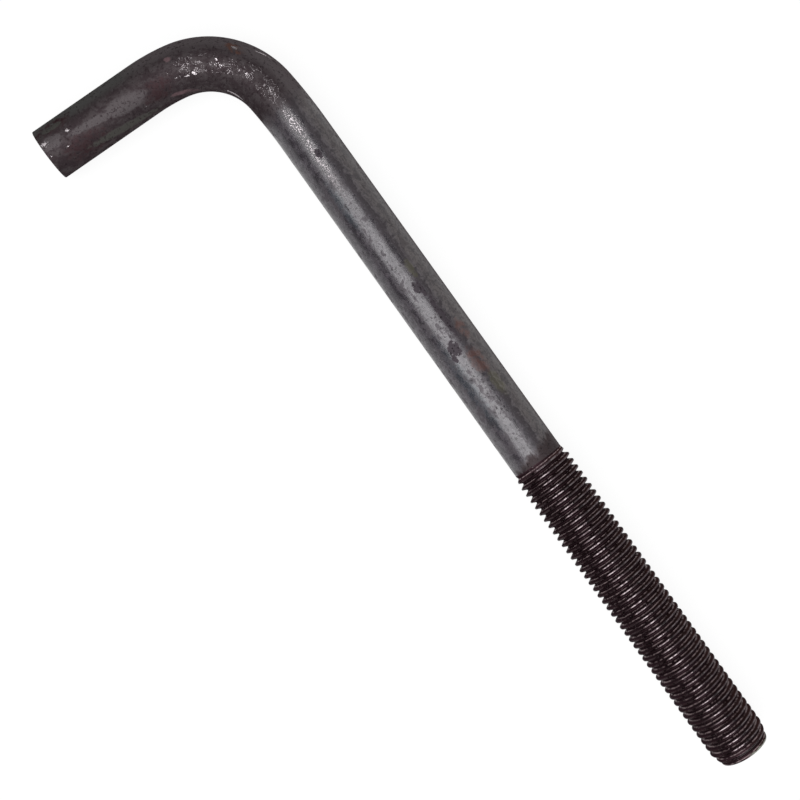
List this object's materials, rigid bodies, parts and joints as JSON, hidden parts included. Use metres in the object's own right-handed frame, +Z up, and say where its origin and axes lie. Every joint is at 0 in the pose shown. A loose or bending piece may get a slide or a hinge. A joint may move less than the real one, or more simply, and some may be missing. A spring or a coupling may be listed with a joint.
{
  "type": "l-shaped anchor bolt",
  "caption": "Plain steel anchor bolt with a threaded end and a right-angle hook that locks into concrete.",
  "frame": {"origin": "centre of the bolt's footprint, on the ground it lies on", "axes": "+X along the long leg towards its threaded end, -Y along the hook towards its tip, +Z up from the ground"},
  "size_m": [0.3372, 0.0936, 0.0222],
  "materials": {
    "steel": "hot-rolled, with dark mill scale and a little rust"
  },
  "bodies": {
    "root": {"anchor_bolt": "steel"}
  },
  "joints": []
}
